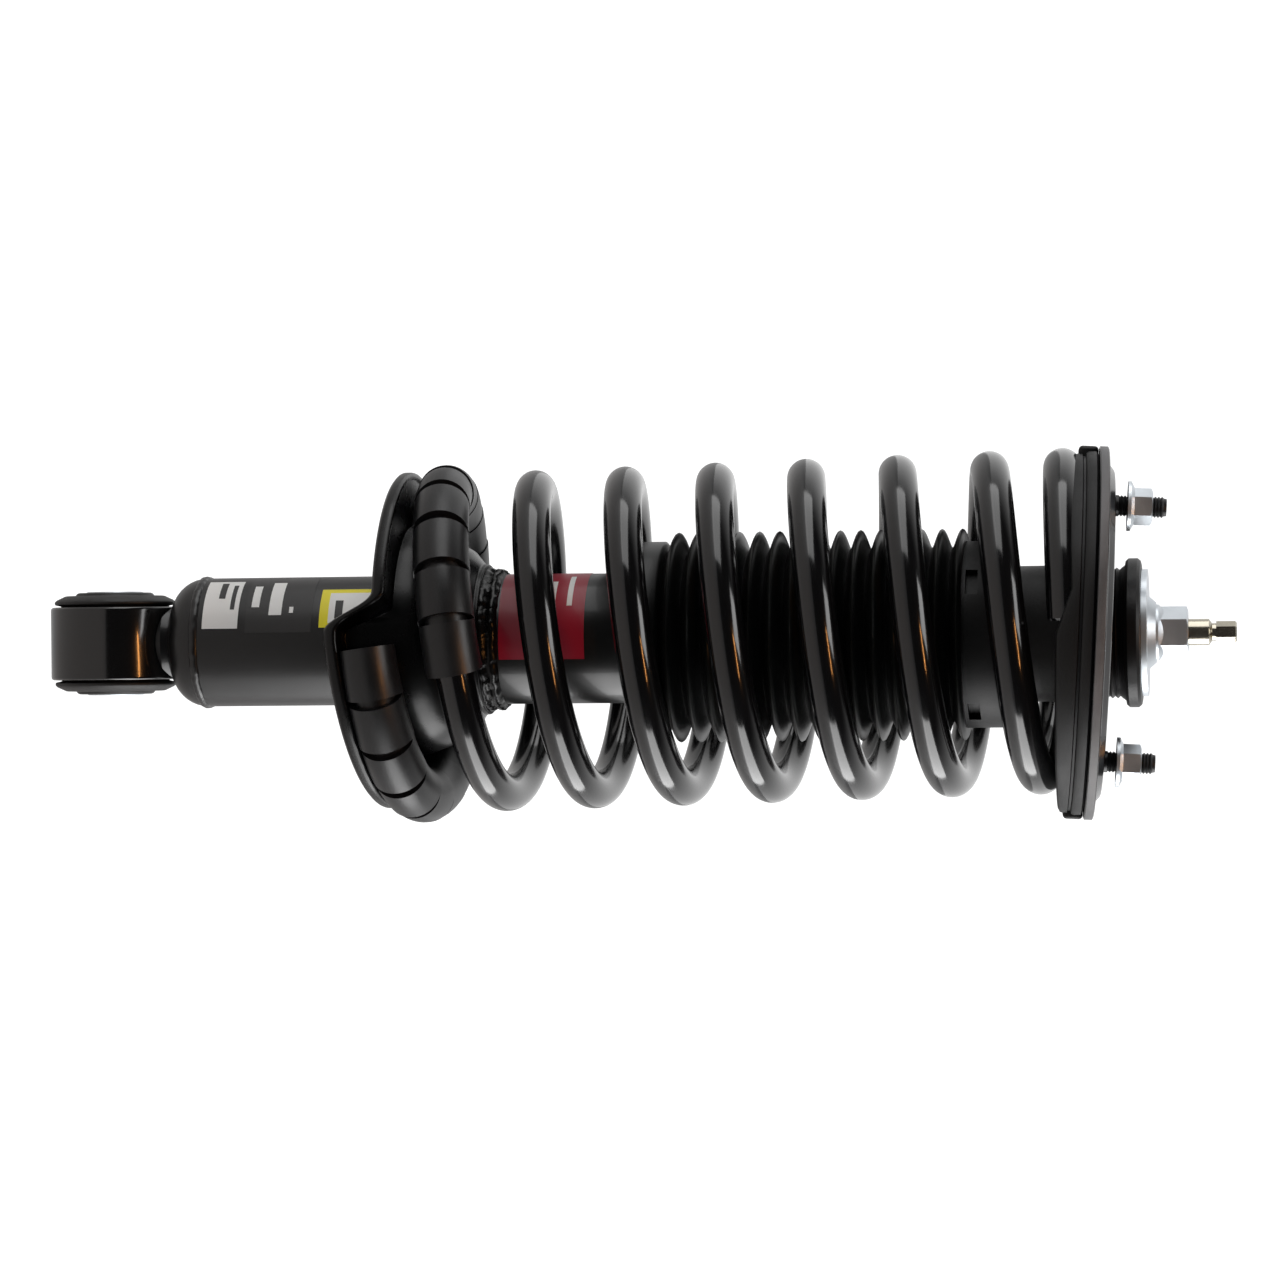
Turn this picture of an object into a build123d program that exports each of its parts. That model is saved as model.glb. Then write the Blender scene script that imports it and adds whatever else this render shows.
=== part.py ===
from build123d import *
from math import cos, pi, radians, sin, tan
import os

# Coil-over strut assembly, in millimetres, standing as it does in the vehicle.
# The origin is the centre of the lower eye. +Z runs up the piston rod, and the eye's bolt lies along X.
# Angles around the rod start at -Y and turn towards +X.

# Clearances
slide_gap = 0.05  # running fit, radial
seat_gap = 0.3  # between pieces that rest on each other but move or bend apart

# Lower eye and its rubber bush
eye_od = 50.0
eye_wall = 4.0
eye_width = 28.5
bolt_bore = 12.4
bush_sleeve_od = 22.0
bush_length = 40.4
rubber_lip_r = eye_od / 2 - 1.6
rubber_lip_rise = 4.4
rubber_nose_r = bush_sleeve_od / 2 + 3.8

# Damper tubes
tube_od = 50.0
tube_wall = 2.0
cup_corner = 13.0
cup_height = 12.5
tube_top = 214.0
tube_lip = 2.5
pressure_od = 35.0
pressure_wall = 1.5
foot_valve_thick = 8.0

# Coil spring
coil_r = 58.25
wire_d = 14.5
turns = 8
pitch = 34.65
spring_low_z = 109.95
low_closing = 6.0
high_closing = 25.65
lean_low = 3.0
lean_high = 0.8
drift = 0.0257
drift_centre = 186.0
wire_start = 0.012
sleeve_start = 0.002
sleeve_turns = 1.03
sleeve_wall = 3.2
slit_pitch = 18.0
slit_width = 1.8

# Lower spring seat, under the spring's first coil
seat_sheet = 4.0
seat_r = coil_r + 6.75
seat_hat_r = coil_r - 14.25
seat_flat_z = spring_low_z + 9.55
seat_hat_top = spring_low_z + 37.55
seat_weld_z = seat_hat_top + 2
step_start = 343.0
step_end = 357.0

# Upper mount, over the spring's last coil
plate_z = spring_low_z + pitch * turns - high_closing / 2 + wire_d / 2 + 0.725
plate_tilt_x = -4.0
plate_tilt_y = 3.1
isolator_r = coil_r + 9.75
isolator_bore = coil_r - 16.25
plate_r = isolator_r + 2.5
rim_half = 1.9
dome_rise = 4.3
dome_sheet = 3.2
dome_r = isolator_r - 6.5
plate_hole_r = 25.8
stud_circle_r = dome_r - 6.5
stud_d = 8.0
stud_reach = 19.0
stud_angles = (60, 180, 300)
stud_head = 2.5
nut_af = 12.0
nut_height = 6.8
nut_stand = 7.0
washer_r = 9.3
washer_thick = 2.0

# Piston rod and the pieces on it
rod_d = 14.0
rod_thread_d = rod_d - 4
rod_shoulder = plate_z - 32.3
rod_thread_top = plate_z + 43.7
rod_tip = rod_thread_top + 9.2
rod_hex_af = rod_thread_d - 3
rod_neck_d = rod_thread_d - 3.4
piston_thick = 14.0
guide_thick = 10.0
seal_thick = 5.0
rebound_thick = 8.0
rebound_r = rod_d / 2 + 5
bump_r = tube_od / 2 - 4
bump_length = 36.0
mount_washer_r = 24.0
mount_washer = 3.0
mount_sleeve_r = rod_thread_d / 2 + 3.5
neck_r = plate_hole_r - 1
grommet_r = plate_hole_r + 2.4
grommet_low = plate_z + 11.3
grommet_top = grommet_low + 6.2
rod_nut_af = rod_thread_d + 7
rod_nut_height = 12.0
rod_nut_flange_r = rod_thread_d / 2 + 5.6

# Dust boot and its holder, round the damper tube
boot_low = tube_top - 4.2
boot_collar_r = tube_od / 2 + 11.9
boot_collar = 10.0
folds = 15
boot_wall = 2.4
holder_wall = 3.0
holder_r = tube_od / 2 + 10.5
fold_peak_r = holder_r + 4.8
holder_skirt = 12.4
window_angles = (56, 146, 236, 326)
window_height = 4.6
window_width = 11.0


def around(radius, angle, z):
    """A point at this angle round the rod, in degrees from -Y towards +X."""
    a = radians(angle)
    return Vector(radius * sin(a), -radius * cos(a), z)


def ring(outer, inner, low, high):
    """A plain ring about the rod."""
    return Pos(0, 0, low) * extrude(Circle(outer) - Circle(inner), high - low)


def disc(radius, low, high):
    return Pos(0, 0, low) * extrude(Circle(radius), high - low)


def turned(*points):
    """A solid of revolution about the rod, from (radius, height) corners."""
    return revolve(Plane.XZ * make_face(Polyline(*points, close=True)), Axis.Z)


def hex_prism(across_flats, low, high):
    blank = RegularPolygon(across_flats / 2, 6, major_radius=False)
    return Pos(0, 0, low) * extrude(blank, high - low)


def along_x(solid):
    """Lays a solid made about Z down along X."""
    return Rot(0, 90, 0) * solid


# Coil spring: a helix whose ends close up, and which leans and drifts a little across the rod.
def coil_height(t):
    """Height of the wire's centre line after t turns, before its lean."""
    z = spring_low_z + pitch * t
    if t < 1:
        z += low_closing * (1 - t) ** 2 / 2
    if t > turns - 1:
        z -= high_closing * (t - turns + 1) ** 2 / 2
    return z


def coil_point(t):
    a = 2 * pi * t
    lean = radians(lean_low + (lean_high - lean_low) * t / turns)
    x = coil_r * sin(a)
    z = coil_height(t)
    return Vector(x - drift * (z - drift_centre), -coil_r * cos(a), z + x * tan(lean))


def coil_path(start, end, steps_per_turn=12):
    """The wire's centre line between two turn counts."""
    steps = max(3, round((end - start) * steps_per_turn))
    return Spline(*[coil_point(start + (end - start) * i / steps) for i in range(steps + 1)])


def wire_section(path, radius, hollow=0):
    section = Circle(radius)
    if hollow:
        section -= Circle(hollow)
    return Plane(origin=path @ 0, z_dir=path % 0) * section


def swept_wire(start, end, radius, hollow=0):
    path = coil_path(start, end)
    return sweep(wire_section(path, radius, hollow), path=path, is_frenet=True)


def shelf(height_at, inner, outer, thick):
    """A ribbon round the rod, top at height_at(angle): flat radial sections joined by straight lines."""
    marks = [*range(0, 340, 10), *range(340, 360, 2), 360]
    half = marks.index(180)
    middle = (inner + outer) / 2
    halves = []
    for run in (marks[: half + 1], marks[half:]):
        sections = []
        for angle in run:
            spot = around(middle, angle, height_at(angle % 360) - thick / 2)
            outward = around(1, angle, 0)
            face = Plane(origin=spot, x_dir=outward, z_dir=around(1, angle + 90, 0))
            sections.append(face * Rectangle(outer - inner + 8, thick))
        halves.append(loft(sections, ruled=True))
    low = min(height_at(a) for a in marks[:-1]) - thick - 1
    high = max(height_at(a) for a in marks[:-1]) + 1
    return (halves[0] + halves[1]) & ring(outer, inner, low, high)


# Lower eye: ring, moulded rubber bush and its steel inner sleeve
def lower_eye_ring():
    blank = ring(eye_od / 2, eye_od / 2 - eye_wall, -eye_width / 2, eye_width / 2)
    return along_x(chamfer(blank.edges(), 0.6))


def lower_bush_rubber():
    bore = bush_sleeve_od / 2 + slide_gap
    outer = eye_od / 2 - eye_wall
    face = eye_width / 2
    lip = face + rubber_lip_rise
    nose = bush_length / 2 - 0.4
    half = turned(
        (bore, 0),
        (outer, 0),
        (outer, face + 0.4),
        (rubber_lip_r, face + 0.9),
        (rubber_lip_r, face + 2.2),
        (rubber_lip_r - 4.4, lip),
        (rubber_nose_r + 1.2, lip - 0.9),
        (rubber_nose_r, nose - 0.6),
        (rubber_nose_r - 0.8, nose),
        (bore, nose),
    )
    return along_x(half + mirror(half, Plane.XY))


def lower_bush_sleeve():
    blank = ring(bush_sleeve_od / 2, bolt_bore / 2, -bush_length / 2, bush_length / 2)
    return along_x(blank)


# Damper body, from its rounded base to the seal at its top
cup_low = eye_od / 2
seam_z = cup_low + cup_height
tube_in = tube_od / 2 - tube_wall
pressure_r = pressure_od / 2
pressure_bore = pressure_r - pressure_wall
guide_low = tube_top - tube_lip - seal_thick - guide_thick
cap_top = tube_top + 4.0


def base_cup():
    outer = disc(tube_od / 2, cup_low, seam_z + 0.01)
    outer = fillet(outer.faces().sort_by(Axis.Z)[0].edges(), cup_corner - 1)
    inner = disc(tube_in, cup_low + 3, seam_z + 1)
    inner = fillet(inner.faces().sort_by(Axis.Z)[0].edges(), cup_corner - 4)
    return split(outer, Plane.XY.offset(seam_z), keep=Keep.BOTTOM) - inner


def eye_weld():
    """The weld that fills the corner between the round base and the eye."""
    fill = turned((0, 12), (12, 12), (15.5, 22), (13.4, cup_low + 2.6), (0, cup_low + 2.6))
    eye = along_x(disc(eye_od / 2, -40, 40))
    cup = disc(tube_od / 2, cup_low, seam_z)
    cup = fillet(cup.faces().sort_by(Axis.Z)[0].edges(), cup_corner - 1)
    return fill - eye - cup


def base_weld():
    """The rough bead that joins the base cup to the tube."""
    r = tube_od / 2
    return turned((r, seam_z - 1.8), (r + 0.6, seam_z - 1), (r + 0.6, seam_z + 1), (r, seam_z + 1.8))


def reserve_tube():
    r = tube_od / 2
    lip_low = tube_top - tube_lip
    return turned(
        (tube_in, seam_z),
        (r, seam_z),
        (r, tube_top - 2),
        (r - 2, tube_top),
        (rod_d / 2 + 7, tube_top),
        (rod_d / 2 + 7, lip_low),
        (tube_in, lip_low),
    )


def foot_valve():
    low = cup_low + 3
    top = low + foot_valve_thick
    body = ring(pressure_r, 5, low + 3, top) + ring(pressure_bore, 5, top - 0.01, top + 4)
    feet = ring(12, 8, low, low + 3.01)
    ports = [Pos(*around(9.5, 60 * i, low)) * disc(1.6, -1, foot_valve_thick + 6) for i in range(6)]
    slots = [Rot(0, 0, 90 * i) * Pos(10, 0, low + 1.2) * Box(6, 3, 2.4) for i in range(4)]
    return body + feet - ports - slots


def pressure_tube():
    return ring(pressure_r, pressure_bore, cup_low + 3 + foot_valve_thick, guide_low + 4)


def rod_guide():
    bush = rod_d / 2 + slide_gap + 1.2
    body = ring(tube_in, bush, guide_low + 4, guide_low + guide_thick)
    return body + ring(pressure_bore, bush, guide_low, guide_low + 4.01)


def guide_bush():
    bore = rod_d / 2 + slide_gap
    return ring(bore + 1.2, bore, guide_low, guide_low + guide_thick)


def oil_seal():
    low = guide_low + guide_thick
    bore = rod_d / 2 + slide_gap
    return turned(
        (bore, low),
        (tube_in, low),
        (tube_in, low + seal_thick),
        (rod_d / 2 + 6.5, low + seal_thick),
        (rod_d / 2 + 6.5, low + seal_thick + 1.5),
        (bore, low + seal_thick + 1.5),
    )


def striker_cap():
    """The hard cap that the bump stop strikes, snapped over the tube's rim."""
    r = tube_od / 2
    outer = disc(r + 2, tube_top - 8, cap_top)
    outer = fillet(outer.faces().sort_by(Axis.Z)[-1].edges(), 2.5)
    bore = disc(rod_d / 2 + 3, tube_top - 9, cap_top + 1)
    vents = [Rot(0, 0, 60 * i) * Pos(18, 0, cap_top) * Box(6, 3, 9) for i in range(6)]
    return outer - disc(r, tube_top - 9, tube_top) - bore - vents


# Lower spring seat: a helical shelf that drops off in one step, round a pressed hat welded to the tube
sleeve_r = wire_d / 2 + seat_gap + sleeve_wall


def seat_top(angle):
    """Height of the shelf's top: it follows the lowest coil, then levels off, then steps down."""
    under_coil = coil_point(angle / 360).Z - sleeve_r - 2 * seat_gap
    high = min(under_coil, seat_flat_z)
    if angle < step_start:
        return high
    if angle > step_end:
        return seat_top(0)
    u = (angle - step_start) / (step_end - step_start)
    return high + (seat_top(0) - high) * (1 - cos(pi * u)) / 2


def lower_spring_seat():
    r = tube_od / 2
    low = seat_top(0) - seat_sheet
    hat = turned(
        (seat_hat_r - seat_sheet, low),
        (seat_hat_r, low),
        (seat_hat_r, seat_flat_z + 6),
        (seat_hat_r - 3, seat_flat_z + 14),
        (r + 9, seat_hat_top - 4),
        (r + seat_sheet, seat_hat_top),
        (r + seat_sheet, seat_weld_z),
        (r, seat_weld_z),
        (r, seat_hat_top - seat_sheet),
        (r + 7, seat_hat_top - 4 - seat_sheet),
        (seat_hat_r - 3 - seat_sheet, seat_flat_z + 12),
        (seat_hat_r - seat_sheet, seat_flat_z + 4),
    )
    hat -= shelf(lambda angle: seat_top(angle) - seat_sheet, r + 1, seat_hat_r + 1, 50)
    return hat + shelf(seat_top, seat_hat_r - 1.5, seat_r, seat_sheet)


def seat_weld():
    """Two laps of weld bead over the hat's upper edge."""
    r = tube_od / 2
    z = seat_weld_z
    lower_pass = [(r, z), (r + 2.9, z), (r + 3.4, z + 2), (r + 2.2, z + 3.4)]
    upper_pass = [(r + 2.8, z + 5), (r + 1.6, z + 6.8), (r, z + 7)]
    return turned(*lower_pass, *upper_pass)


# Spring, its slit plastic sleeve, and the rubber isolator on top
def coil_spring():
    return swept_wire(wire_start, turns, wire_d / 2)


def spring_sleeve():
    tube = swept_wire(sleeve_start, sleeve_turns, sleeve_r, wire_d / 2 + seat_gap)
    path = coil_path(sleeve_start, sleeve_turns)
    slits = round(path.length / slit_pitch)
    for i in range(1, slits):
        at = i / slits
        spot = path @ at
        outward = Vector(spot.X, spot.Y, 0).normalized()
        cut = Plane(origin=spot + outward * (sleeve_r + 1), x_dir=outward, z_dir=path % at)
        tube -= cut * Box(2 * sleeve_r, 3 * sleeve_r, slit_width)
    return tube


plate_place = Pos(0, 0, plate_z) * Rot(plate_tilt_x, plate_tilt_y, 0)


def isolator_low(angle):
    """Height of the isolator's lower face: a ramp under the last coil, with a step past the wire's end."""
    last = coil_point(turns - 1 + max(angle, 90) / 360).Z
    sink = 1.2 + 3.6 * min(1, max(0, angle - 90) / 260)
    cradle = last + wire_d / 2 - sink
    if angle < 90:
        cradle += 2.4 * (90 - angle) / 70
    if angle > 346:
        u = (angle - 346) / 14
        return cradle + (isolator_low(0) - cradle) * u
    return cradle


def spring_isolator():
    deep = 40.0
    body = plate_place * (
        ring(isolator_r, isolator_bore, -deep / 2, -rim_half)
        + ring(dome_r - 2.5, isolator_bore, -rim_half - 0.01, dome_rise - dome_sheet)
    )
    for angle in (90, 180, 270):
        body += plate_place * Rot(0, 0, angle) * Pos(0, -plate_r + 6, -rim_half - 4) * Box(12, 11, 8)
    body -= shelf(isolator_low, isolator_bore - 4, plate_r + 6, deep)
    body -= swept_wire(turns - 1.1, turns + 0.01, wire_d / 2 + seat_gap)
    for angle in stud_angles:
        head = disc(stud_head_r + 0.5, -rim_half - 1.2, dome_rise)
        body -= plate_place * Pos(*around(stud_circle_r, angle, 0)) * head
    return body


# Upper mount, from the plate to the nut on the rod
def mount_plate():
    blank = turned(
        (plate_r, -rim_half),
        (plate_r, rim_half),
        (dome_r + 3, rim_half),
        (dome_r, dome_rise),
        (plate_hole_r, dome_rise),
        (plate_hole_r, dome_rise - dome_sheet),
        (dome_r - 1.2, dome_rise - dome_sheet),
        (dome_r + 0.6, -rim_half),
    )
    for angle in stud_angles:
        blank -= Pos(*around(stud_circle_r, angle, 0)) * disc(stud_d / 2, 0, 10)
    return plate_place * blank


stud_head_r = dome_r - 1.3 - stud_circle_r


def at_each_stud(piece):
    places = [plate_place * Pos(*around(stud_circle_r, a, 0)) for a in stud_angles]
    return Compound(children=[place * piece for place in places])


def mount_studs():
    under = dome_rise - dome_sheet
    tip = dome_rise + stud_reach
    shank = disc(stud_d / 2, under - 1, tip)
    shank = chamfer(shank.faces().sort_by(Axis.Z)[-1].edges(), 0.8)
    return at_each_stud(shank + disc(stud_head_r, under - stud_head, under))


nut_low = dome_rise + nut_stand


def stud_washers():
    bore = stud_d / 2 + slide_gap
    piece = turned(
        (bore, nut_low - 1),
        (washer_r, nut_low - washer_thick - 0.4),
        (washer_r, nut_low - washer_thick + 0.8),
        (bore + 3, nut_low),
        (bore, nut_low),
    )
    return at_each_stud(piece)


def stud_nuts():
    blank = hex_prism(nut_af, nut_low, nut_low + nut_height)
    cone = turned((0, nut_low), (nut_af / 2 + 1, nut_low), (nut_af / 2 + 1, nut_low + nut_height - 0.6),
                  (nut_af / 2 - 0.3, nut_low + nut_height), (0, nut_low + nut_height))
    return at_each_stud((blank & cone) - disc(stud_d / 2 + slide_gap, nut_low - 1, nut_low + 9))


washer_top = rod_shoulder + mount_washer


def mount_rubber():
    """The rubber grommet that holds the rod: a foot below the plate, a neck through it, a collar above."""
    foot = turned((mount_sleeve_r, washer_top), (neck_r + 1, washer_top), (neck_r + 1, plate_z - 16.3),
                  (neck_r + 7, plate_z - 6.3), (neck_r + 7, grommet_top), (mount_sleeve_r, grommet_top))
    above = plate_place * disc(60, dome_rise - dome_sheet, 60)
    foot -= above
    neck = ring(neck_r, mount_sleeve_r, plate_z - 12.3, grommet_low + 0.01)
    collar = ring(grommet_r, mount_sleeve_r, grommet_low, grommet_top)
    outer = collar.edges().filter_by(GeomType.CIRCLE).sort_by(SortBy.RADIUS)[-2:]
    return foot + neck + fillet(outer, 2.4)


def mount_inner_sleeve():
    return ring(mount_sleeve_r, rod_thread_d / 2 + slide_gap, washer_top, grommet_top + 0.7)


def lower_mount_washer():
    return ring(mount_washer_r, rod_thread_d / 2 + slide_gap, rod_shoulder, washer_top)


def upper_mount_washer():
    low = grommet_top + 0.7
    bore = rod_thread_d / 2 + slide_gap
    return turned(
        (bore, low),
        (bore + 8, low),
        (bore + 10, low - 0.6),
        (mount_washer_r, low - 0.6),
        (mount_washer_r, low + 1.6),
        (bore + 9, low + 1.6),
        (bore + 6.4, low + 4.6),
        (bore, low + 4.6),
    )


nut_seat = grommet_top + 0.7 + 4.6


def rod_nut():
    top = nut_seat + rod_nut_height
    blank = hex_prism(rod_nut_af, nut_seat + 1, top)
    cone = turned((0, nut_seat), (12, nut_seat), (12, top - 1.4), (rod_nut_af / 2 - 0.2, top), (0, top))
    flange = turned((0, nut_seat), (rod_nut_flange_r, nut_seat), (rod_nut_flange_r, nut_seat + 1),
                    (rod_nut_af / 2, nut_seat + 2.8), (0, nut_seat + 2.8))
    return (blank & cone) + flange - disc(rod_thread_d / 2 + slide_gap, nut_seat - 1, top + 1)


# Piston rod, piston and stops. At rest the strut is fully extended, on its rebound stop.
rebound_top = guide_low - seat_gap
rebound_low = rebound_top - rebound_thick
piston_top = rebound_low - 7
piston_low = piston_top - piston_thick
holder_low = rod_shoulder - 4
bump_low = holder_low - bump_length


def piston_rod():
    r = rod_d / 2
    t = rod_thread_d / 2
    neck = rod_neck_d / 2
    body = turned(
        (0, piston_low - 10),
        (t - 1, piston_low - 10),
        (t, piston_low - 9),
        (t, piston_top),
        (r, piston_top),
        (r, rod_shoulder),
        (t, rod_shoulder),
        (t, rod_thread_top - 1.2),
        (neck, rod_thread_top),
        (neck, rod_thread_top + 1.6),
        (0, rod_thread_top + 1.6),
    )
    tip = hex_prism(rod_hex_af, rod_thread_top + 1.5, rod_tip)
    return body + chamfer(tip.faces().sort_by(Axis.Z)[-1].edges(), 0.6)


def piston():
    body = ring(pressure_bore - 0.3, rod_thread_d / 2, piston_low, piston_top)
    groove = ring(pressure_bore + 1, pressure_bore - 1.4, piston_low + 3, piston_top - 3)
    ports = [Pos(*around(10.5, 45 * i, 0)) * disc(1.5, piston_low - 1, piston_top + 1) for i in range(8)]
    return body - groove - ports


def piston_band():
    return ring(pressure_bore - slide_gap, pressure_bore - 1.4, piston_low + 3, piston_top - 3)


def piston_shims():
    """The stack of spring-steel discs under the piston, stepped down towards the nut."""
    sizes = (13.0, 11.5, 10.0)
    stack = None
    for i, r in enumerate(sizes):
        shim = ring(r, rod_thread_d / 2, piston_low - 0.5 * (i + 1), piston_low - 0.5 * i)
        stack = shim if stack is None else stack + shim
    return stack


def piston_nut():
    top = piston_low - 1.5
    return hex_prism(rod_nut_af, top - 7, top) - disc(rod_thread_d / 2, top - 8, top + 1)


def rebound_stop():
    blank = ring(rebound_r, rod_d / 2, rebound_low, rebound_top)
    return fillet(blank.edges().filter_by(GeomType.CIRCLE).sort_by(SortBy.RADIUS)[-2:], 2)


def bump_stop():
    top = holder_low
    bore = rod_d / 2 + slide_gap
    return turned(
        (bore, bump_low + 2),
        (bore + 3, bump_low),
        (bump_r - 8, bump_low),
        (bump_r - 5, bump_low + 4),
        (bump_r - 4, bump_low + 10),
        (bump_r - 7, bump_low + 12),
        (bump_r - 3, bump_low + 15),
        (bump_r - 1.5, bump_low + 22),
        (bump_r - 5, bump_low + 24.5),
        (bump_r, bump_low + 28),
        (bump_r, top),
        (bore, top),
    )


# Dust boot: a plain collar, then a run of folds, then a cuff that its holder grips
boot_folds_low = boot_low + boot_collar
cuff_low = holder_low - 9.65
fold_pitch = (cuff_low - boot_folds_low) / folds
cuff_r = holder_r - holder_wall
fold_valley_r = cuff_r
last_fold_top = holder_low - holder_skirt - 0.1


def boot_line(inset):
    """The boot's outline, moved in by inset: narrow flats at the peaks and valleys, with cones between.

    The last fold is pressed flat against the holder's rim.
    """
    points = []
    top = last_fold_top - (1.5 if inset else 0)
    for i in range(folds):
        low = boot_folds_low + i * fold_pitch
        for part, radius in ((0.12, fold_valley_r), (0.38, fold_peak_r - 1), (0.46, fold_peak_r),
                             (0.54, fold_peak_r), (0.62, fold_peak_r - 1), (0.88, fold_valley_r)):
            points.append((radius - inset, min(low + part * fold_pitch, top + part / 10)))
    return [(points[0][0], boot_folds_low), *points, (points[-1][0], cuff_low)]


def dust_boot():
    bellows = turned(*boot_line(0), *reversed(boot_line(boot_wall)))
    collar = turned(
        (fold_valley_r - boot_wall, boot_folds_low + 0.01),
        (fold_valley_r - boot_wall, boot_folds_low - 2),
        (boot_collar_r - boot_wall, boot_folds_low - 3.5),
        (boot_collar_r - boot_wall, boot_low),
        (boot_collar_r, boot_low),
        (boot_collar_r, boot_folds_low - 1),
        (fold_valley_r, boot_folds_low + 0.01),
    )
    cuff = ring(cuff_r, cuff_r - boot_wall, cuff_low - 0.01, holder_low)
    return bellows + collar + cuff


def boot_holder():
    low = holder_low - holder_skirt
    skirt = ring(holder_r, cuff_r, low, holder_low + 0.01)
    plate = ring(holder_r, rod_d / 2 + slide_gap, holder_low, rod_shoulder)
    body = skirt + fillet(plate.edges().filter_by(GeomType.CIRCLE).sort_by(SortBy.RADIUS)[-1:], 2)
    for angle in window_angles:
        window = Pos(0, -holder_r, low + 1.6 + window_height / 2) * Box(window_width, 6, window_height)
        body -= Rot(0, 0, angle) * window
    return body


pieces = (
    lower_eye_ring, lower_bush_rubber, lower_bush_sleeve, base_cup, eye_weld, base_weld,
    reserve_tube, foot_valve, pressure_tube, rod_guide, guide_bush, oil_seal, striker_cap,
    lower_spring_seat, seat_weld, coil_spring, spring_sleeve, spring_isolator,
    mount_plate, mount_studs, stud_washers, stud_nuts, mount_rubber, mount_inner_sleeve,
    lower_mount_washer, upper_mount_washer, rod_nut, piston_rod, piston, piston_band,
    piston_shims, piston_nut, rebound_stop, bump_stop, dust_boot, boot_holder,
)

os.makedirs("parts", exist_ok=True)
for piece in pieces:
    export_step(piece(), f"parts/{piece.__name__}.step")
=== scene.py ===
from math import atan2, cos, degrees, floor, pi, radians, sin, tan
import bpy
from mathutils import Matrix, Vector


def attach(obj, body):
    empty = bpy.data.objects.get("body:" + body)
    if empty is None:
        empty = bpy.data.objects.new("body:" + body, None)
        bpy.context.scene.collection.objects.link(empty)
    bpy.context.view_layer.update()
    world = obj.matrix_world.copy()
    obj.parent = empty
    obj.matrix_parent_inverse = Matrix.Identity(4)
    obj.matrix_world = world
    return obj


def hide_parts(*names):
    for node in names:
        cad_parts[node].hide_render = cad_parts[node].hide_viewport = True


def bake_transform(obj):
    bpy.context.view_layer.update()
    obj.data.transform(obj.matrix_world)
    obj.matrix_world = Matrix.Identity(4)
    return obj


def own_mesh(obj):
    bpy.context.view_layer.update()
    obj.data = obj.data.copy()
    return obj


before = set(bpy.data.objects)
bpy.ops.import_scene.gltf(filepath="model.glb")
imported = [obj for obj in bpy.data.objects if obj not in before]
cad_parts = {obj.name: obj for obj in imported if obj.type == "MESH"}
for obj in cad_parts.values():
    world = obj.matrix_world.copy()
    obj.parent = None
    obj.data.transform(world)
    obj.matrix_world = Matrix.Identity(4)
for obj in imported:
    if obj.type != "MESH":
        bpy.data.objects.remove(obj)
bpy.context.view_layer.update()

# Lower eye: a short ring of steel tube, welded crosswise under the strut.
# Sprayed gloss black after welding; its rounded rims catch thin, soft highlights.
MM = 0.001


def linear(hex_colour):
    """A screen colour as the linear values that shaders take."""
    parts = [int(hex_colour[i:i + 2], 16) / 255 for i in (0, 2, 4)]
    return [c / 12.92 if c < 0.04045 else ((c + 0.055) / 1.055) ** 2.4 for c in parts] + [1]


def add(tree, kind, inputs=(), **settings):
    """Adds one shader node. Inputs are (socket, value or other socket)."""
    node = tree.nodes.new(kind)
    for key, value in settings.items():
        setattr(node, key, value)
    for socket, value in inputs:
        if isinstance(value, bpy.types.NodeSocket):
            tree.links.new(value, node.inputs[socket])
        else:
            node.inputs[socket].default_value = value
    return node


def surface(name, colour, rough, grain=0.0, grain_mm=1.0, mottle=0.1, sockets=()):
    """A painted, moulded or plated surface: its colour and gloss wander over 20 mm, and grain roughens it."""
    mat = bpy.data.materials.new(name)
    mat.use_nodes = True
    tree = mat.node_tree
    shader = tree.nodes["Principled BSDF"]
    where = add(tree, "ShaderNodeTexCoord").outputs["Object"]
    cloud = add(tree, "ShaderNodeTexNoise", [("Vector", where), ("Scale", 50.0), ("Detail", 5.0)])
    shade = add(tree, "ShaderNodeMapRange", [
        ("Value", cloud.outputs[0]), ("From Min", 0.3), ("From Max", 0.7),
        ("To Min", 1 - mottle), ("To Max", 1 + mottle)])
    tint = add(tree, "ShaderNodeMix", [(0, 1.0), (6, linear(colour)), (7, shade.outputs[0])],
               data_type="RGBA", blend_type="MULTIPLY")
    gloss = add(tree, "ShaderNodeMapRange", [
        ("Value", cloud.outputs[0]), ("From Min", 0.3), ("From Max", 0.7),
        ("To Min", rough * 0.85), ("To Max", min(1, rough * 1.15))])
    tree.links.new(tint.outputs[2], shader.inputs["Base Color"])
    tree.links.new(gloss.outputs[0], shader.inputs["Roughness"])
    if grain:
        fine = add(tree, "ShaderNodeTexNoise", [
            ("Vector", where), ("Scale", 1000 / grain_mm), ("Detail", 3.0)])
        bump = add(tree, "ShaderNodeBump", [
            ("Strength", grain), ("Distance", 0.0003), ("Height", fine.outputs[0])])
        tree.links.new(bump.outputs[0], shader.inputs["Normal"])
    for socket, value in sockets:
        shader.inputs[socket].default_value = value
    return mat


def paint(node, mat):
    """Gives a CAD node its material."""
    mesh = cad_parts[node].data
    mesh.materials.clear()
    mesh.materials.append(mat)


def dress(ob, name, mat, body, *nodes, angle=35):
    """Names a finished piece, gives it its material and body, and lets it stand for its CAD nodes."""
    ob.name = name
    ob.data.name = name
    ob.data.materials.append(mat)
    bpy.ops.object.select_all(action="DESELECT")
    ob.select_set(True)
    bpy.context.view_layer.objects.active = ob
    bpy.ops.object.shade_smooth_by_angle(angle=radians(angle))
    if body:
        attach(ob, body)
    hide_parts(*nodes)
    return ob


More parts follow.
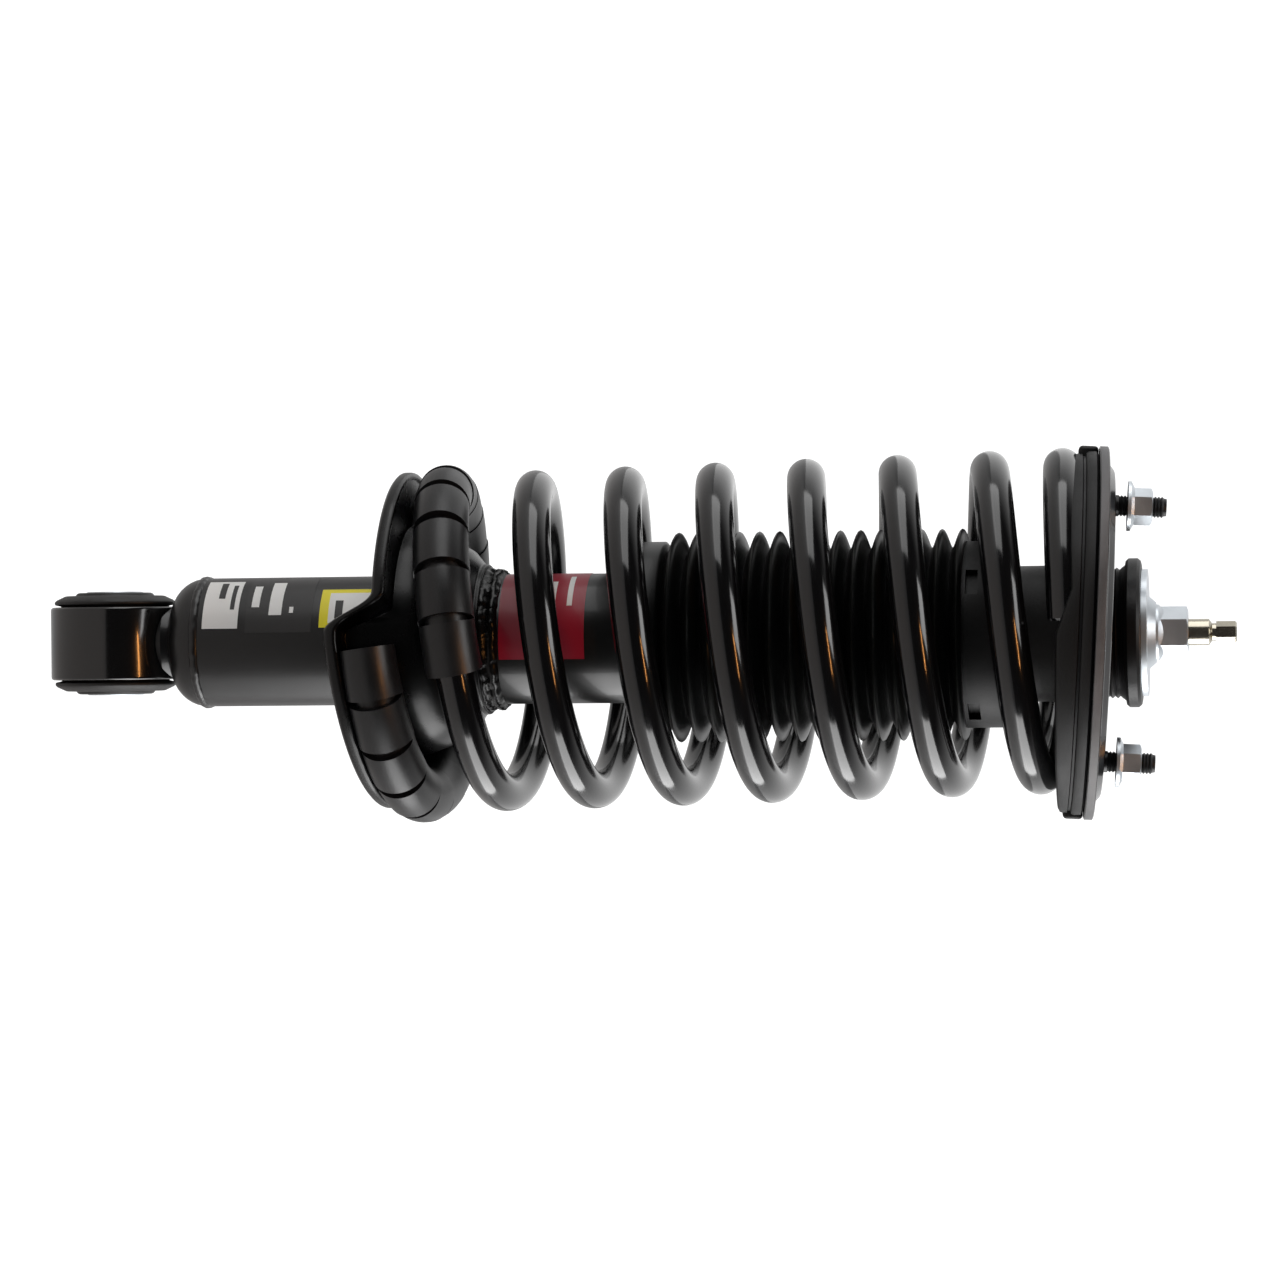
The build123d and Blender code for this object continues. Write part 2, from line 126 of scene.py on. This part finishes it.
def turned(profile, sides=128, round_mm=0.0, steps=3):
    """A ring: a circle pulled along its (radius, height) profile in mm back to where it starts."""
    radius, height = profile[0]
    bpy.ops.object.select_all(action="DESELECT")
    bpy.ops.mesh.primitive_circle_add(vertices=sides, radius=radius * MM, location=(0, 0, height * MM))
    bpy.ops.object.transform_apply(location=True)
    ob = bpy.context.object
    bpy.ops.object.mode_set(mode="EDIT")
    bpy.ops.mesh.select_all(action="SELECT")
    for r, z in [*profile[1:], profile[0]]:
        bpy.ops.mesh.extrude_region_move(TRANSFORM_OT_translate={"value": (0, 0, (z - height) * MM)})
        bpy.ops.transform.resize(value=(r / radius, r / radius, 1), center_override=(0, 0, z * MM))
        radius, height = r, z
    bpy.ops.mesh.select_all(action="SELECT")
    bpy.ops.mesh.remove_doubles(threshold=1e-6)
    bpy.ops.mesh.normals_make_consistent(inside=False)
    bpy.ops.object.mode_set(mode="OBJECT")
    if round_mm:
        bevel = ob.modifiers.new("rounding", "BEVEL")
        bevel.width = round_mm * MM
        bevel.segments = steps
        bevel.limit_method = "ANGLE"
        bevel.angle_limit = radians(25)
        bpy.ops.object.modifier_apply(modifier=bevel.name)
    return ob


def lay_along_x(ob):
    """Turns a ring made about Z so that it lies about X."""
    bpy.ops.object.mode_set(mode="EDIT")
    bpy.ops.mesh.select_all(action="SELECT")
    bpy.ops.transform.rotate(value=pi / 2, orient_axis="Y", center_override=(0, 0, 0))
    bpy.ops.object.mode_set(mode="OBJECT")
    return ob


eye_paint = surface("gloss_black_spray_paint_on_welded_tube", "0b0b0c", 0.16, grain=0.05, grain_mm=3,
                    sockets=[("Coat Weight", 0.6), ("Coat Roughness", 0.08)])
ring = turned([(21, -14.2), (25, -14.2), (25, 14.2), (21, 14.2)], round_mm=1.1)
dress(lay_along_x(ring), "lower_eye", eye_paint, "tube_side", "lower_eye_ring")

# Bush: rubber moulded on a zinc-plated steel sleeve and pressed into the eye.
# Matt rubber with a raised lip and a groove; the sleeve's turned end face stays bright.
bush_rubber = surface("moulded_black_bush_rubber", "131313", 0.5, grain=0.25, grain_mm=0.6)
side = [(20.9, 14.6), (23.4, 15.1), (23.5, 16.2), (22.6, 17.0), (19.4, 18.5), (18.4, 18.7), (17.6, 18.2),
        (16.4, 17.7), (15.6, 18.2), (14.9, 19.4), (14.0, 19.8), (11.05, 19.8)]
rubber = turned([(r, -z) for r, z in reversed(side)] + side, round_mm=0.4, steps=2)
dress(lay_along_x(rubber), "lower_bush", bush_rubber, "tube_side", "lower_bush_rubber")
zinc = surface("clear_blue_zinc_plate_on_turned_steel", "d8dee3", 0.4, grain=0.05, grain_mm=2,
               sockets=[("Metallic", 1.0)])
core = turned([(6.2, -20.2), (11, -20.2), (11, 20.2), (6.2, 20.2)], round_mm=0.5)
dress(lay_along_x(core), "lower_bush_core", zinc, "bush_sleeve", "lower_bush_sleeve")

# Damper tube: drawn steel, its domed base welded on, sprayed satin black over the whole.
# The paint is slightly rough, so light spreads down its length in one wide, soft band.
tube_paint = surface("satin_black_spray_paint_on_drawn_tube", "0d0d0e", 0.34, grain=0.06, grain_mm=1.2,
                     sockets=[("Coat Weight", 0.15)])
corner = [(12 + 13 * sin(radians(a)), 37.5 - 13 * cos(radians(a))) for a in range(0, 91, 9)]
cup = turned([*corner, (22, 37.5), (22, 33), (18, 28.5), (12, 27.5), (1, 27.5), (1, 24.5)])
dress(cup, "base_cup_shell", tube_paint, "tube_side", "base_cup")
tube = turned([(23, 37.5), (25, 37.5), (25, 212), (24.4, 213.4), (23, 214),
               (14, 214), (14, 211.5), (23, 211.5)])
dress(tube, "outer_tube", tube_paint, "tube_side", "reserve_tube")

# Welds: beads laid in overlapping laps and painted with the tube.
# Their lumps break the highlight into short glints.
lumps = bpy.data.textures.new("weld_lumps", "CLOUDS")
lumps.noise_scale = 0.0032


def lumpy(ob, height_mm):
    """Raises a welded bead's surface into small lumps."""
    push = ob.modifiers.new("lumps", "DISPLACE")
    push.texture = lumps
    push.texture_coords = "LOCAL"
    push.strength = height_mm * MM
    push.mid_level = 0.5
    bpy.ops.object.modifier_apply(modifier=push.name)
    return ob


bead = turned([(24.6, 35.6), (25.2, 35.9), (25.5, 36.4), (25.7, 37), (25.7, 37.8), (25.5, 38.4), (25.2, 38.9),
               (24.6, 39.2)], sides=256)
dress(lumpy(bead, 0.7), "base_bead", tube_paint, "tube_side", "base_weld", angle=60)
paint("eye_weld", tube_paint)

# Stickers: printed paper under clear film, laid round the tube.
# Flat white, yellow and red inks with a slight film gloss; bars stand in for the printing.
tube_r = 25


def sticker(name, mat, low, high, start, end, radius=tube_r + 0.12):
    """A thin patch round the tube between two heights (mm) and two angles (degrees from -Y towards +X)."""
    bpy.ops.object.select_all(action="DESELECT")
    bpy.ops.mesh.primitive_grid_add(x_subdivisions=32, y_subdivisions=2, size=1)
    ob = bpy.context.object
    for v in ob.data.vertices:
        a = radians(start + (end - start) * (v.co.x + 0.5))
        z = low + (high - low) * (v.co.y + 0.5)
        v.co = (radius * sin(a) * MM, -radius * cos(a) * MM, z * MM)
    thick = ob.modifiers.new("film", "SOLIDIFY")
    thick.thickness = 0.00008
    thick.offset = 0
    bpy.ops.object.modifier_apply(modifier=thick.name)
    return dress(ob, name, mat, "tube_side")


upper_film_r = tube_r + 0.2
film = [("Coat Weight", 0.3)]
white_ink = surface("white_printed_film", "f2f2f0", 0.4, mottle=0.02, sockets=film)
yellow_ink = surface("yellow_printed_film", "f4e61c", 0.4, mottle=0.02, sockets=film)
red_ink = surface("red_printed_film", "a3122f", 0.35, mottle=0.05, sockets=film)
black_ink = surface("black_printed_film", "1a1a1b", 0.35, mottle=0.05, sockets=film)
sticker("sticker_white", white_ink, 41, 55, 292, 348)
for i, (low, high, start, end) in enumerate(((51.5, 53.2, 300, 330), (46.5, 49, 296, 318))):
    sticker(f"sticker_white_bar_{i}", black_ink, low, high, start, end, upper_film_r)
sticker("sticker_black", black_ink, 58, 84, 285, 352)
for i, (low, high, start, end) in enumerate(((60, 63, 302, 328), (67, 72, 296, 336), (75, 76.6, 328, 334))):
    sticker(f"sticker_black_bar_{i}", white_ink, low, high, start, end, upper_film_r)
sticker("sticker_yellow", yellow_ink, 87, 112, 308, 348)
sticker("sticker_yellow_panel", white_ink, 90.5, 109, 313, 344, upper_film_r)
sticker("sticker_yellow_bar", black_ink, 93, 96, 322, 340, 25.28)
sticker("sticker_red", red_ink, 157, 190, 270, 378)
red_bars = ((176, 178.5, 300, 345), (183, 185, 290, 330), (167, 170, 310, 350))
for i, (low, high, start, end) in enumerate(red_bars):
    sticker(f"sticker_red_bar_{i}", white_ink, low, high, start, end, upper_film_r)

# Damper inside: only seen when the strut is cut or taken apart.
# Turned and sintered steel, a bronze bush, nitrile and nylon.
steel = surface("plain_turned_steel", "8d8b86", 0.35, sockets=[("Metallic", 1.0)])
for node in ("foot_valve", "pressure_tube", "rod_guide", "piston", "piston_shims", "piston_nut",
             "mount_inner_sleeve", "lower_mount_washer"):
    paint(node, steel)
paint("guide_bush", surface("sintered_bronze", "8a6a3a", 0.4, sockets=[("Metallic", 1.0)]))
nitrile = surface("moulded_nitrile", "1b1614", 0.5)
nylon = surface("moulded_black_nylon", "161617", 0.4)
paint("oil_seal", nitrile)
paint("rebound_stop", nitrile)
paint("striker_cap", nylon)
paint("piston_band", nylon)

# Spring: cold-wound steel wire with a thick gloss powder coat.
# The coat flows smooth, so soft boxes read as clean pale strips along the wire.
coil_r = 58.25
pitch = 34.65
wire_low_z = 109.95
wire_r = 7.25


def coil_point(t):
    """Centre of the wire after t turns, in mm: its ends close up, and it leans and drifts across the rod."""
    z = wire_low_z + pitch * t
    if t < 1:
        z += 3.0 * (1 - t) ** 2
    if t > 7:
        z -= 12.825 * (t - 7) ** 2
    x = coil_r * sin(2 * pi * t)
    lean = radians(3.0 - 2.2 * t / 8)
    return Vector((x - 0.0257 * (z - 186), -coil_r * cos(2 * pi * t), z + x * tan(lean)))


def wire_frame(t):
    """The wire's centre, and the outward and upward directions across it."""
    centre = coil_point(t)
    along = (coil_point(t + 0.001) - coil_point(t - 0.001)).normalized()
    outward = Vector((sin(2 * pi * t), -cos(2 * pi * t), 0))
    outward = (outward - along * outward.dot(along)).normalized()
    return centre, outward, along.cross(outward)


def along_wire(name, rings):
    """A tube along the wire, closed at its ends. Each ring is (turns, [(angle across, radius), ...]).
    A third number moves a point along the wire by that many turns."""
    points, faces = [], []
    for t, section in rings:
        straight = wire_frame(t)
        for a, r, *shift in section:
            centre, outward, upward = wire_frame(t + shift[0]) if shift else straight
            points.append((centre + outward * r * cos(a) + upward * r * sin(a)) * MM)
    count = len(rings[0][1])
    for i in range(len(rings) - 1):
        for j in range(count):
            k = (j + 1) % count
            faces.append((i * count + j, i * count + k, (i + 1) * count + k, (i + 1) * count + j))
    faces.append(tuple(reversed(range(count))))
    faces.append(tuple(range((len(rings) - 1) * count, len(rings) * count)))
    mesh = bpy.data.meshes.new(name)
    mesh.from_pydata(points, [], faces)
    ob = bpy.data.objects.new(name, mesh)
    bpy.context.scene.collection.objects.link(ob)
    bpy.ops.object.select_all(action="DESELECT")
    ob.select_set(True)
    bpy.context.view_layer.objects.active = ob
    bpy.ops.object.mode_set(mode="EDIT")
    bpy.ops.mesh.select_all(action="SELECT")
    bpy.ops.mesh.normals_make_consistent(inside=False)
    bpy.ops.object.mode_set(mode="OBJECT")
    return ob


spring_paint = surface("gloss_black_powder_coat_on_wound_wire", "08080a", 0.15, grain=0.05, grain_mm=2.5,
                       sockets=[("Coat Weight", 0.4), ("Coat Roughness", 0.1)])
circle = [2 * pi * j / 40 for j in range(40)]
start, end = 0.012, 8.0
rings = [(start, [(a, wire_r - 0.7) for a in circle])]
wire_steps = 800
for i in range(wire_steps + 1):
    rings.append((start + 0.002 + (end - start - 0.004) * i / wire_steps, [(a, wire_r) for a in circle]))
rings += [(end, [(a, wire_r - 0.7) for a in circle])]
spring = along_wire("spring", rings)
dress(spring, "spring", spring_paint, None, "coil_spring", angle=40)
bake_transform(spring)

# Sleeve: a split plastic tube pushed over the lowest coil, slit across so that it bends.
# Satin dark grey, duller than the wire in it; each slit opens on the outside of the bend.
sleeve_plastic = surface("satin_grey_extruded_plastic", "131416", 0.38, grain=0.12, grain_mm=0.8)
slits = 19
sleeve_end = 1.03


def plate_ring(t, wall, side):
    """One end of a segment: it draws back from the slit on the outside of the bend."""
    return t, [(a, wall, side * 0.0042 * max(0, cos(a)) ** 0.6) for a in circle]


rings = []
for i in range(slits + 1):
    low = 0.002 + (sleeve_end - 0.002) * i / (slits + 1)
    high = 0.002 + (sleeve_end - 0.002) * (i + 1) / (slits + 1)
    flare = 0.35 * sin(2.4 * i)
    for k in range(7):
        side = 1 if k == 0 and i else -1 if k == 6 and i < slits else 0
        wall = 10.45 + 0.3 * k / 6 + flare * (k / 6 - 0.5) ** 2
        rings.append(plate_ring(low + (high - low) * (0.004 + 0.992 * k / 6), wall, side))
    if i < slits:
        rings += [plate_ring(high - 0.0003, 8.0, -1), plate_ring(high + 0.0003, 8.0, 1)]
bore = [(a, 7.55) for a in circle]
rings = [(0.016, bore), (0.002, bore), *rings, (sleeve_end, bore), (1.022, bore)]
sleeve = along_wire("sleeve", rings)
dress(sleeve, "spring_sleeve_tube", sleeve_plastic, "tube_side", "spring_sleeve")

# Lower seat: pressed sheet, a sloping shelf with one step and a hat in its middle, dip-coated.
# The coat is thick and glossy, and it rounds every edge.
seat_coat = surface("gloss_black_dip_coat_on_pressed_sheet", "050506", 0.27, grain=0.12, grain_mm=3,
                    sockets=[("Specular IOR Level", 0.35)])


level_z = 119.5
step_start, step_end = 343, 357


def seat_top(angle):
    """Height of the shelf in mm: it follows the sleeve, levels off, then steps down before the wire's end."""
    high = min(coil_point(angle / 360).z - 11.35, level_z)
    if angle < step_start:
        return high
    if angle > step_end:
        return seat_top(0)
    part = (angle - step_start) / (step_end - step_start)
    return high + (seat_top(0) - high) * (1 - cos(pi * part)) / 2


def turn_angle(v):
    """Degrees round the rod, from -Y towards +X."""
    return degrees(atan2(v.co.x, -v.co.y)) % 360


hat = [(25, 149.5), (29, 149.5), (29, 147.5), (34, 143.5), (41, 133.5), (44, 125.5)]
shelf = [(44, 0), (62.5, 0), (62.6, 1.2), (64.4, 1.2), (65, 0.2), (65, -2.6), (63.4, -4), (40, -4)]
under = [(40, 123.5), (37, 131.5), (32, 139.5), (25, 143.5)]
seat = turned(hat + shelf + under, sides=360, round_mm=0.9)
for v in seat.data.vertices:
    if v.co.z < 0.05:
        v.co.z += seat_top(turn_angle(v)) * MM
dress(seat, "lower_seat", seat_coat, "tube_side", "lower_spring_seat")
collar = turned([(24.8, 147), (26.5, 147.2), (27.6, 148.4), (27.9, 149.8), (27.4, 151.2), (26.6, 152.2),
                 (27.2, 153.3), (27.2, 154.6), (26.4, 155.7), (24.8, 156.4)], sides=256)
dress(lumpy(collar, 1.7), "seat_bead", seat_coat, "tube_side", "seat_weld", angle=60)

# Boot: one moulding of black rubber with fifteen folds, satin where the mould was polished.
# Each fold's crown takes a soft light line, and the valleys stay dark.
boot_rubber = surface("satin_black_moulded_boot_rubber", "070808", 0.36, grain=0.08, grain_mm=1,
                      sockets=[("Specular IOR Level", 0.4)])
fold_count, fold_steps = 15, 12
folds = []
for i in range(fold_count * fold_steps + 1):
    u = i / fold_steps
    crown = 0.5 - 0.5 * cos(2 * pi * u)
    folds.append((33 + 7.3 * crown ** 0.8, 219.8 + min(7.77 * u, 113.7 + (u - floor(u)) * 0.4)))
outline = [(36.9, 210), (36.9, 218.4), (35.6, 219.4), *folds, (32.4, 334), (32.4, 346)]
inside = [(r - 2.0, z) for r, z in reversed(folds)]
boot = turned([*outline, (30.2, 346), (30.2, 334), *inside, (34.6, 217.6), (34.6, 210)])
dress(boot, "boot", boot_rubber, None, "dust_boot", angle=60)
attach(boot, "mount_side")
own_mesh(boot)
paint("boot_holder", surface("moulded_black_nylon_ring", "0a0a0b", 0.5, grain=0.2, grain_mm=0.5,
                            sockets=[("Specular IOR Level", 0.25)]))
paint("bump_stop", surface("foamed_polyurethane", "b9a25c", 0.8, grain=0.5, grain_mm=0.8))

# Isolator: grey rubber moulded to the last coil, between the spring and the plate.
# Mould lines run round it under the plate, and its foot rises and falls with the wire.
isolator_rubber = surface("moulded_grey_isolator_rubber", "0e0f10", 0.5, grain=0.2, grain_mm=0.7,
                          sockets=[("Specular IOR Level", 0.35)])
plate_z = 382.3
plate_slope_x, plate_slope_y = 0.0543, 0.0700


def isolator_low(angle):
    """Height in mm of the foot that cradles the last coil and steps past the wire's end."""
    foot = coil_point(7 + max(angle, 90) / 360).z + wire_r - 1.2 - 3.6 * min(1, max(0, angle - 90) / 260)
    if angle < 90:
        foot += 2.4 * (90 - angle) / 70
    if angle > 346:
        foot += (isolator_low(0) - foot) * (angle - 346) / 14
    return foot


plate_low = 1000
section = [(42.2, 0), (66.2, 0), (67.6, 0.7), (68, 2.2), (68, plate_low - 8.2), (67.2, plate_low - 7.8),
           (67.2, plate_low - 7.0), (68.4, plate_low - 6.6), (68.9, plate_low - 5.6), (68.9, plate_low - 3.0),
           (68.2, plate_low - 2.4), (67.6, plate_low - 2.0), (42.2, plate_low - 2.0)]
isolator = turned(section, sides=360)
for v in isolator.data.vertices:
    if v.co.z < 0.5:
        v.co.z += isolator_low(turn_angle(v)) * MM
    else:
        v.co.z += (plate_z - plate_low) * MM - plate_slope_x * v.co.x - plate_slope_y * v.co.y
dress(isolator, "isolator", isolator_rubber, "mount_side", "spring_isolator")

# Mount plate: pressed steel with a raised dome, coated black; its rim's outer edge is painted pale grey as a
# painted highlight.
# The outer face is nearly flat and gloss, so it mirrors the pale room.
tilt = Matrix.Translation((0, 0, plate_z * MM))
tilt = tilt @ Matrix.Rotation(radians(-4), 4, "X") @ Matrix.Rotation(radians(3.1), 4, "Y")


def tilted(ob, spin=0, out=0):
    """Moves a piece made about Z onto the mount plate, out mm from its centre, at spin degrees round it."""
    ob.matrix_world = tilt @ Matrix.Rotation(radians(spin), 4, "Z") @ Matrix.Translation((0, -out * MM, 0))
    bpy.ops.object.transform_apply(location=True, rotation=True, scale=False)
    return ob


plate_coat = surface("black_dip_coat_on_pressed_plate", "101012", 0.24, grain=0.05, grain_mm=4,
                     sockets=[("Coat Weight", 0.3)])
plate = turned([(62.1, -1.9), (70.5, -1.9), (70.5, 1.9), (64.5, 1.9), (61.5, 4.3),
                (25.8, 4.3), (25.8, 1.1), (60.3, 1.1)], sides=192, round_mm=0.7)
dress(tilted(plate), "top_plate", plate_coat, "mount_side", "mount_plate")
# The rim band's pale grey is a painted highlight, standing in for the light the plate's rim catches.
rim_highlight_paint = surface("pale_paint_for_rim_highlight", "5c5c5e", 0.45, grain=0.5, grain_mm=0.5, mottle=0.3)
edge = turned([(69.5, -1.5), (70.7, -1.5), (70.7, 1.5), (69.5, 1.5)], sides=192, round_mm=0.1)
dress(tilted(edge), "top_plate_edge", rim_highlight_paint, "mount_side")
for angle in (90, 180, 270):
    bpy.ops.object.select_all(action="DESELECT")
    bpy.ops.mesh.primitive_cube_add(size=1)
    tab = bpy.context.object
    tab.data.transform(Matrix.Translation((0, -0.0015, -0.0058)) @ Matrix.Diagonal((0.012, 0.009, 0.0074, 1)))
    soften = tab.modifiers.new("soft_edges", "BEVEL")
    soften.width = 0.0014
    soften.segments = 3
    bpy.ops.object.modifier_apply(modifier=soften.name)
    dress(tilted(tab, angle, 64.5), f"isolator_tab_{angle}", isolator_rubber, "mount_side")

# Studs: rolled M8 threads, phosphated black and pressed into the plate from below.
# Washers and nuts are zinc-plated, so they show pale and slightly blue beside the threads.
stud_circle_r = 55
stud_coat = surface("black_phosphate_on_rolled_studs", "17181a", 0.38)
threads = [(4.0 if i % 2 else 3.4, 6 + 0.625 * i) for i in range(27)]
for angle in (60, 180, 300):
    stud = turned([(0.05, -1.4), (5.2, -1.4), (5.2, 1.1), (4.0, 1.1), (4.0, 5.5), *threads,
                   (3.2, 23.3), (0.05, 23.3)], sides=32)
    stud = tilted(stud, angle, stud_circle_r)
    dress(stud, f"stud_{angle}", stud_coat, "mount_side", angle=20)
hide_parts("mount_studs")
for node in ("stud_washers", "stud_nuts", "upper_mount_washer", "rod_nut"):
    paint(node, zinc)

# Mount rubber: one moulding bonded round the inner sleeve. Matt black, with thin ribs on its neck.
# Its foot flares out under the dome, and the flare's top lies along the tilted sheet.
mount_rubber = surface("moulded_black_mount_rubber", "08080a", 0.42, grain=0.2, grain_mm=0.8,
                       sockets=[("Specular IOR Level", 0.4)])
flare_top = 383.2
ribs = [(24.8 - (0.9 if i % 2 else 0), 386.5 + i) for i in range(7)]
foot = [(8.5, 353), (25.8, 353), (25.8, 366), (31.6, 376), (31.6, flare_top), (24.8, flare_top)]
head = [(25.6, 393.6), (27.2, 393.9), (28.2, 395), (28.2, 398.4), (27.2, 399.5), (25.8, 399.8), (8.5, 399.8)]
grommet = turned([*foot, *ribs, *head])
for vertex in grommet.data.vertices:
    if abs(vertex.co.z - flare_top * MM) < 0.01 * MM:
        vertex.co.z -= (0.0540788 * vertex.co.x + 0.0696544 * vertex.co.y) / 0.9961043
dress(grommet, "grommet", mount_rubber, "mount_side", "mount_rubber")
paint("piston_rod", surface("bright_rolled_thread_steel", "b9b3a4", 0.22, sockets=[("Metallic", 1.0)]))

# Room: a plain white floor under the strut, a white surround and soft lights.
# Seen directly the floor and surround are white; in reflections they are dimmer, so the blacks stay deep.
bpy.ops.object.select_all(action="DESELECT")
bpy.ops.mesh.primitive_plane_add(size=6, location=(0, 0, -0.06))
ground = bpy.context.object
ground.name = "floor"
white = bpy.data.materials.new("plain_white_paper")
white.use_nodes = True
tree = white.node_tree
tree.nodes.clear()
glow = add(tree, "ShaderNodeEmission", [("Color", (1, 1, 1, 1)), ("Strength", 1.2)])
paper = add(tree, "ShaderNodeBsdfPrincipled", [
    ("Base Color", (0.45, 0.45, 0.45, 1)), ("Emission Color", (1, 1, 1, 1)), ("Emission Strength", 0.1)])
ray = add(tree, "ShaderNodeLightPath")
both = add(tree, "ShaderNodeMixShader", [
    (0, ray.outputs["Is Camera Ray"]), (1, paper.outputs[0]), (2, glow.outputs[0])])
add(tree, "ShaderNodeOutputMaterial", [("Surface", both.outputs[0])])
ground.data.materials.append(white)

world = bpy.data.worlds.new("studio")
bpy.context.scene.world = world
world.use_nodes = True
tree = world.node_tree
tree.nodes.clear()
seen = add(tree, "ShaderNodeBackground", [("Color", (1, 1, 1, 1)), ("Strength", 1.2)])
way = add(tree, "ShaderNodeSeparateXYZ", [(0, add(tree, "ShaderNodeTexCoord").outputs["Generated"])])
behind = add(tree, "ShaderNodeMapRange", [
    ("Value", way.outputs["Y"]), ("From Min", -0.2), ("From Max", 0.75), ("To Min", 0.03), ("To Max", 0.9)],
    interpolation_type="SMOOTHSTEP")
lit = add(tree, "ShaderNodeBackground", [("Color", (1, 1, 1, 1)), ("Strength", behind.outputs[0])])
ray = add(tree, "ShaderNodeLightPath")
both = add(tree, "ShaderNodeMixShader", [
    (0, ray.outputs["Is Camera Ray"]), (1, lit.outputs[0]), (2, seen.outputs[0])])
add(tree, "ShaderNodeOutputWorld", [("Surface", both.outputs[0])])

middle = Vector((0, 0, 0.208))
for name, place, width, height, power in (
    ("soft_box_left", (-1.5, -0.35, 0.3), 1.6, 1.0, 11),
    ("soft_box_right", (1.5, 0.05, 0.3), 1.6, 1.1, 27),
    ("end_light", (-0.3, -0.5, 1.7), 0.8, 0.6, 6),
):
    lamp = bpy.data.lights.new(name, "AREA")
    lamp.shape = "RECTANGLE"
    lamp.size = width
    lamp.size_y = height
    lamp.energy = power
    ob = bpy.data.objects.new(name, lamp)
    ob.location = place
    ob.rotation_euler = (middle - ob.location).to_track_quat("-Z", "Y").to_euler()
    bpy.context.scene.collection.objects.link(ob)

lamp = bpy.data.lights.new("warm_strip", "AREA")
lamp.shape = "RECTANGLE"
lamp.size = 0.5
lamp.size_y = 0.04
lamp.energy = 2.2
lamp.color = (1, 0.42, 0.12)
ob = bpy.data.objects.new("warm_strip", lamp)
ob.location = (0.14, -0.75, 1.15)
ob.rotation_euler = (middle - ob.location).to_track_quat("-Z", "Y").to_euler()
bpy.context.scene.collection.objects.link(ob)

# Camera: a long lens, turned on its side, so that the strut lies across the picture.
tip_up = radians(8.6)
roll = radians(0.6)
look = Vector((0, cos(tip_up), -sin(tip_up)))
right = Vector((0, sin(tip_up), cos(tip_up)))
up = Vector((-1, 0, 0))
right, up = right * cos(roll) - up * sin(roll), right * sin(roll) + up * cos(roll)
camera = bpy.data.objects.new("camera", bpy.data.cameras.new("camera"))
camera.data.sensor_width = 36
camera.data.lens = 119.8
place = Vector((0.0008, 0, 0.20784)) - look * 1.638
camera.matrix_world = Matrix((
    (right.x, up.x, -look.x, place.x),
    (right.y, up.y, -look.y, place.y),
    (right.z, up.z, -look.z, place.z),
    (0, 0, 0, 1),
))
bpy.context.scene.collection.objects.link(camera)
bpy.context.scene.camera = camera
bpy.context.scene.view_settings.view_transform = "Standard"
